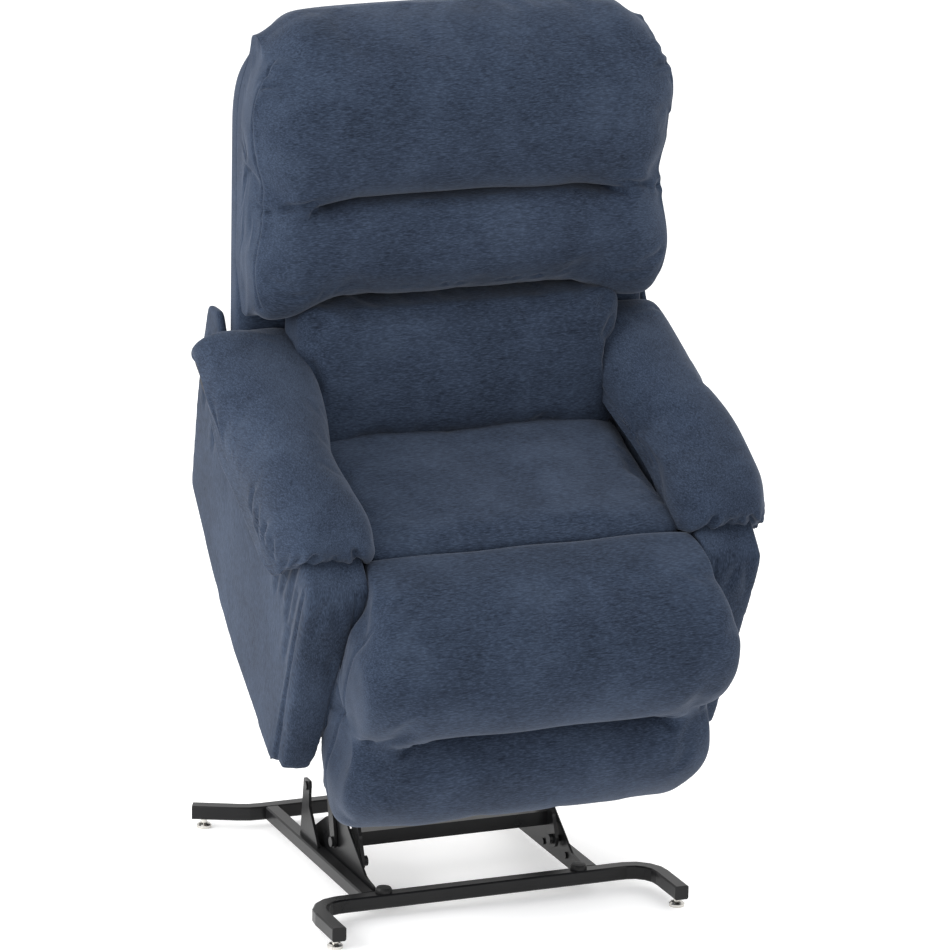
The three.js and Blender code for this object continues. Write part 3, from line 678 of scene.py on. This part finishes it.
def arm_body(s, tag):
    """Outer side, front panel and inner wall of one arm under a single tight cover."""
    side = [(-58, 398), (175, 409), (335, 436), (506, 484), (565, 640), (590, 725), (606, 813), (560, 838), (500, 800), (470, 769.5), (-22.8, 769.5)]
    inner = [(-50, 430), (340, 460), (385, 560), (396, 655), (459, 769.5), (-24, 769.5)]
    verts, faces = [], []

    def prism(poly, x0, x1, warp=lambda p: p):
        base = len(verts)
        m = len(poly)
        for x in (x0, x1):
            for q in poly:
                verts.append(warp((x, q[0], q[1])))
        for i in range(m):
            j = (i + 1) % m
            faces.append([base + i, base + j, base + m + j, base + m + i])
        faces.append([base + i for i in range(m)][::-1])
        faces.append([base + m + i for i in range(m)])

    def flare(p):
        return (p[0] + 12 * max(0.0, min(1.0, 1 - (p[1] + 30) / 540)), p[1], p[2])

    prism(side, 374.5, 391, flare)
    prism(inner, 293, 377)
    front = [(292.5, 769.5), (403, 769.5), (401, 600), (392, 405), (340, 398), (306, 600)]
    shoulder = [(-43, 740), (-43, 770), (-32, 783), (-4, 794), (34, 803), (60, 803), (60, 765), (-20, 740)]
    prism(shoulder, 294.5, 400)
    base = len(verts)
    for k in (0, 1):
        for q in front:
            lean = 44 * (1 - smooth(405, 769, q[1]) * 0 - max(0.0, min(1.0, (q[1] - 398) / 371)))
            verts.append((q[0], (-43 if k == 0 else -14) - lean, q[1]))
    m = len(front)
    for i in range(m):
        j = (i + 1) % m
        faces.append([base + i, base + j, base + m + j, base + m + i])
    faces.append([base + i for i in range(m)][::-1])
    faces.append([base + m + i for i in range(m)])
    P = np.array(verts); P[:, 0] *= s
    me = bpy.data.meshes.new("arm_body_" + tag)
    me.from_pydata([tuple(map(float, q)) for q in chair_to_world(P)], [], faces)
    o = bpy.data.objects.new("arm_body_cover_" + tag, me)
    bpy.context.scene.collection.objects.link(o)
    import bmesh
    bm = bmesh.new(); bm.from_mesh(me)
    bmesh.ops.recalc_face_normals(bm, faces=bm.faces)
    bm.to_mesh(me); bm.free()
    remesh(o, 0.0055, 14)
    Q = world_to_chair(coords(o)); N = rot_normals(o, "chair")
    ax = np.abs(Q[:, 0])
    # stuffed front panel, crowned between its edges, with a roll along its inner edge
    face_u = -43 - 44 * (1 - np.clip((Q[:, 2] - 398) / 371, 0, 1))
    fr = (1 - smooth(1, 9, Q[:, 1] - face_u)) * (Q[:, 2] < 775)
    zmid = np.clip((Q[:, 2] - 585) / 185, -1, 1)
    xm = (ax - (350 + 0.0 * ax)) / 55
    Q[:, 1] -= fr * 9 * (1 - np.clip(xm, -1, 1) ** 2) * (1 - zmid ** 6)
    # side bows out slightly under its stuffing
    outer = smooth(386, 392, ax) * smooth(0.4, 0.9, np.abs(N[:, 0]))
    Q[:, 0] += s * outer * 3.5 * gauss(Q[:, 1] - 240, 220) * gauss(Q[:, 2] - 620, 170)
    set_coords(o, chair_to_world(Q))
    subdivide(o, 1)
    Q = world_to_chair(coords(o)); N = rot_normals(o, "chair")
    ax = np.abs(Q[:, 0])
    # seam down the outer front corner, and the inner roll's seam
    face_u = -43 - 44 * (1 - np.clip((Q[:, 2] - 398) / 371, 0, 1))
    seam = gauss(Q[:, 1] - face_u - 20, 2.4) * smooth(383, 390, ax) * (Q[:, 2] < 768)
    inner_line = 318 + 10 * smooth(769, 600, Q[:, 2]) * 0 + 14 * (1 - smooth(560, 700, Q[:, 2]))
    roll = gauss(ax - inner_line, 2.4) * (1 - smooth(6, 10, Q[:, 1] - face_u)) * smooth(430, 470, Q[:, 2]) * (Q[:, 2] < 772)
    Q = Q - N * ((seam * 3.0 + roll * 2.8))[:, None]
    ridge = gauss(Q[:, 1] - face_u - 27, 3.5) * smooth(383, 390, ax) * (Q[:, 2] < 768)
    Q = Q + N * (ridge * 1.5)[:, None]
    for (xx, uu, v0, gx, gu, gv, ln, d) in ((404, 20, 725, 0, 0.15, 1, 150, 4), (404, 52, 735, 0, -0.1, 1, 110, 3.5), (402, -6, 680, 0, 0.1, 1, 180, 3.5), (403, 84, 720, 0, 0.1, 1, 130, 3),
                                            (350, -50, 735, 0.3, 0, 1, 70, 3), (380, -50, 730, -0.2, 0, 1, 80, 3), (340, -64, 600, 0.1, -0.1, 1, 120, 3), (396, 470, 700, 0, 0.35, 1, 180, 3), (392, 540, 720, 0, 0.3, 1, 160, 2.5)):
        Q = groove(Q, N, (s * xx, uu, v0), (s * gx, gu, gv), ln, 8, d)
    set_coords(o, chair_to_world(Q))
    return finish_soft(o, "chair_frame", FAB_SIDE, ("side_panel_" + tag, "arm_box_" + tag, "arm_front_" + tag))


# ------------------------------------------------------------------ footrest, one stuffed cover with a sewn channel
def footrest():
    def prof(x):
        k = 1 - float(smooth(175, 235, abs(x)))
        ch = 549 + 3 * math.cos(x / 110.0)
        depth = -118 * k - 178 * (1 - k)
        poly = [(16, 758), (14, 784), (-20, 794), (-75, 795), (-130, 775), (-178, 738), (-207, 690), (-213, 640), (-203, 596), (-172 - 6 * (1 - k), ch + 18 - 6 * (1 - k)),
                (depth, ch + 1), (-168 - 12 * (1 - k), ch - 14 + 6 * (1 - k)), (-205, 500), (-214, 440), (-206, 390), (-182, 346), (-142, 322), (-96, 319), (-69, 330), (-69, 430), (-69, 560), (-69, 640), (-52, 676), (-14, 716)]
        return resample(poly, 150)
    W = 296.0
    n = 62
    xs = [W * math.sin(math.pi / 2 * (2 * i / n - 1)) * 0.55 + W * (2 * i / n - 1) * 0.45 for i in range(n + 1)]
    base = {x: prof(x) for x in xs}

    def ring(x):
        p = base[x].copy()
        e = max(0.0, (abs(x) - (W - 42)) / 42)
        off = 34 * (1 - math.sqrt(max(0.0, 1 - min(1.0, e) ** 2)))
        c = np.array([-120.0, 560.0])
        d = p - c
        # pull the edge in at the end of the pad, front faces more than rear ones
        rear = smooth(-90, -60, p[:, 0])
        k = 1 - off * (1 - rear * 0.85)[:, None] / (np.linalg.norm(d, axis=1, keepdims=True) + 40)
        return c + d * k
    v, f = loft(ring, xs, cap=10)
    x, u, w = v[:, 0], v[:, 1], v[:, 2]
    front = 0.085 * smooth(40, 170, -u) * smooth(330, 560, w) + 0.03 * smooth(80, 170, -u) * (1 - smooth(330, 560, w))
    wing = 0.112 * smooth(50, 76, -u) * smooth(330, 480, w) * (1 - smooth(715, 760, w))
    grow = 1 + np.maximum(front, wing) - 0.03 * smooth(-40, 20, u)
    v = np.stack([x * grow, u, w], 1)
    o = make("footrest_cover", chair_to_world(v), f)
    stuff(o, cap=0.014, pressure=4.0, hold=lambda q: smooth(-84, -70, world_to_chair(q)[:, 1]))
    subdivide(o, 1)
    Q = world_to_chair(coords(o)); N = rot_normals(o, "chair")
    Q = lumps(Q, N, 13, 1.3)
    for s in (-1, 1):
        for (xx, uu, v0, gx, gu, gv, ln, d) in (
                (222, -196, 556, 1, 0.1, -0.35, 70, 6), (236, -188, 540, 1, 0.2, -0.9, 60, 6), (232, -190, 574, 1, 0.2, 0.6, 56, 5),
                (306, -120, 700, 0.2, 1, 0.5, 70, 6), (310, -120, 660, 0.1, 1, 0.1, 80, 6), (306, -130, 610, 0.1, 1, -0.3, 90, 6),
                (300, -150, 560, 0.1, 1, -0.2, 80, 7), (296, -140, 520, 0.1, 1, -0.5, 90, 6), (290, -120, 460, 0.1, 1, -0.2, 90, 5), (288, -110, 400, 0.1, 1, -0.4, 80, 5)):
            Q = groove(Q, N, (s * xx, uu, v0), (s * gx, gu, gv), ln, 6, d)
    # seam where the front turns to the side band
    ax = np.abs(Q[:, 0])
    edge = gauss(Q[:, 1] + 112, 3.0) * smooth(0.75, 0.92, np.abs(N[:, 0]))
    Q = Q - N * (edge * 3.2)[:, None]
    set_coords(o, chair_to_world(Q))
    return finish_soft(o, "footrest", FAB, ("footrest_pad_upper", "footrest_pad_lower"))


back_upper()
back_lumbar()
back_outer()
seat()
for s, tag in ((-1, "R"), (1, "L")):
    arm_body(s, tag)
    arm_pad(s, tag)
footrest()

# ------------------------------------------------------------------ stage, light, camera
me = bpy.data.meshes.new("floor")
me.from_pydata([(-40, -40, 0), (40, -40, 0), (40, 60, 0), (-40, 60, 0)], [], [(0, 1, 2, 3)])
floor = bpy.data.objects.new("floor", me)
bpy.context.scene.collection.objects.link(floor)
fm, nt, bsdf = node_material("pale_floor")
bsdf.inputs["Base Color"].default_value = (0.93, 0.93, 0.93, 1)
bsdf.inputs["Roughness"].default_value = 0.55
bsdf.inputs["Emission Color"].default_value = (1, 1, 1, 1)
bsdf.inputs["Emission Strength"].default_value = 0.30
me.materials.append(fm)

world = bpy.data.worlds.new("studio")
world.use_nodes = True
world.node_tree.nodes["Background"].inputs[0].default_value = (1, 1, 1, 1)
world.node_tree.nodes["Background"].inputs[1].default_value = 1.0
bpy.context.scene.world = world


def area(name, loc, target, size, power, col=(1, 1, 1)):
    l = bpy.data.lights.new(name, "AREA")
    l.shape = "RECTANGLE"; l.size = size[0]; l.size_y = size[1]
    l.energy = power; l.color = col
    o = bpy.data.objects.new(name, l)
    o.location = loc
    d = Vector(target) - Vector(loc)
    o.rotation_euler = d.to_track_quat("-Z", "Y").to_euler()
    bpy.context.scene.collection.objects.link(o)
    return o


area("key_left", (-3.6, -0.4, 2.0), (0, 0, 0.7), (2.2, 2.2), 120)
area("top", (0.3, -0.9, 4.0), (0, 0, 0.6), (3.4, 3.0), 60)
area("front_fill", (1.8, -4.2, 1.6), (0, 0, 0.6), (2.4, 2.4), 18)

cam = bpy.data.cameras.new("view")
cam.lens = 195.59
cam.sensor_width = 36.0
cam.clip_end = 200
co = bpy.data.objects.new("view", cam)
fw = Vector((0.36508644, 0.89363785, -0.26100436))
rt = Vector((0.92734406, -0.37381079, 0.01727661))
up = Vector((0.08212721, 0.2483483, 0.96518301))
loc = Vector((-3.1643, -7.8923 + YC / 1000.0, 3.0028))
co.matrix_world = Matrix(((rt.x, up.x, -fw.x, loc.x), (rt.y, up.y, -fw.y, loc.y), (rt.z, up.z, -fw.z, loc.z), (0, 0, 0, 1)))
bpy.context.scene.collection.objects.link(co)
bpy.context.scene.camera = co
bpy.context.scene.view_settings.view_transform = "Standard"
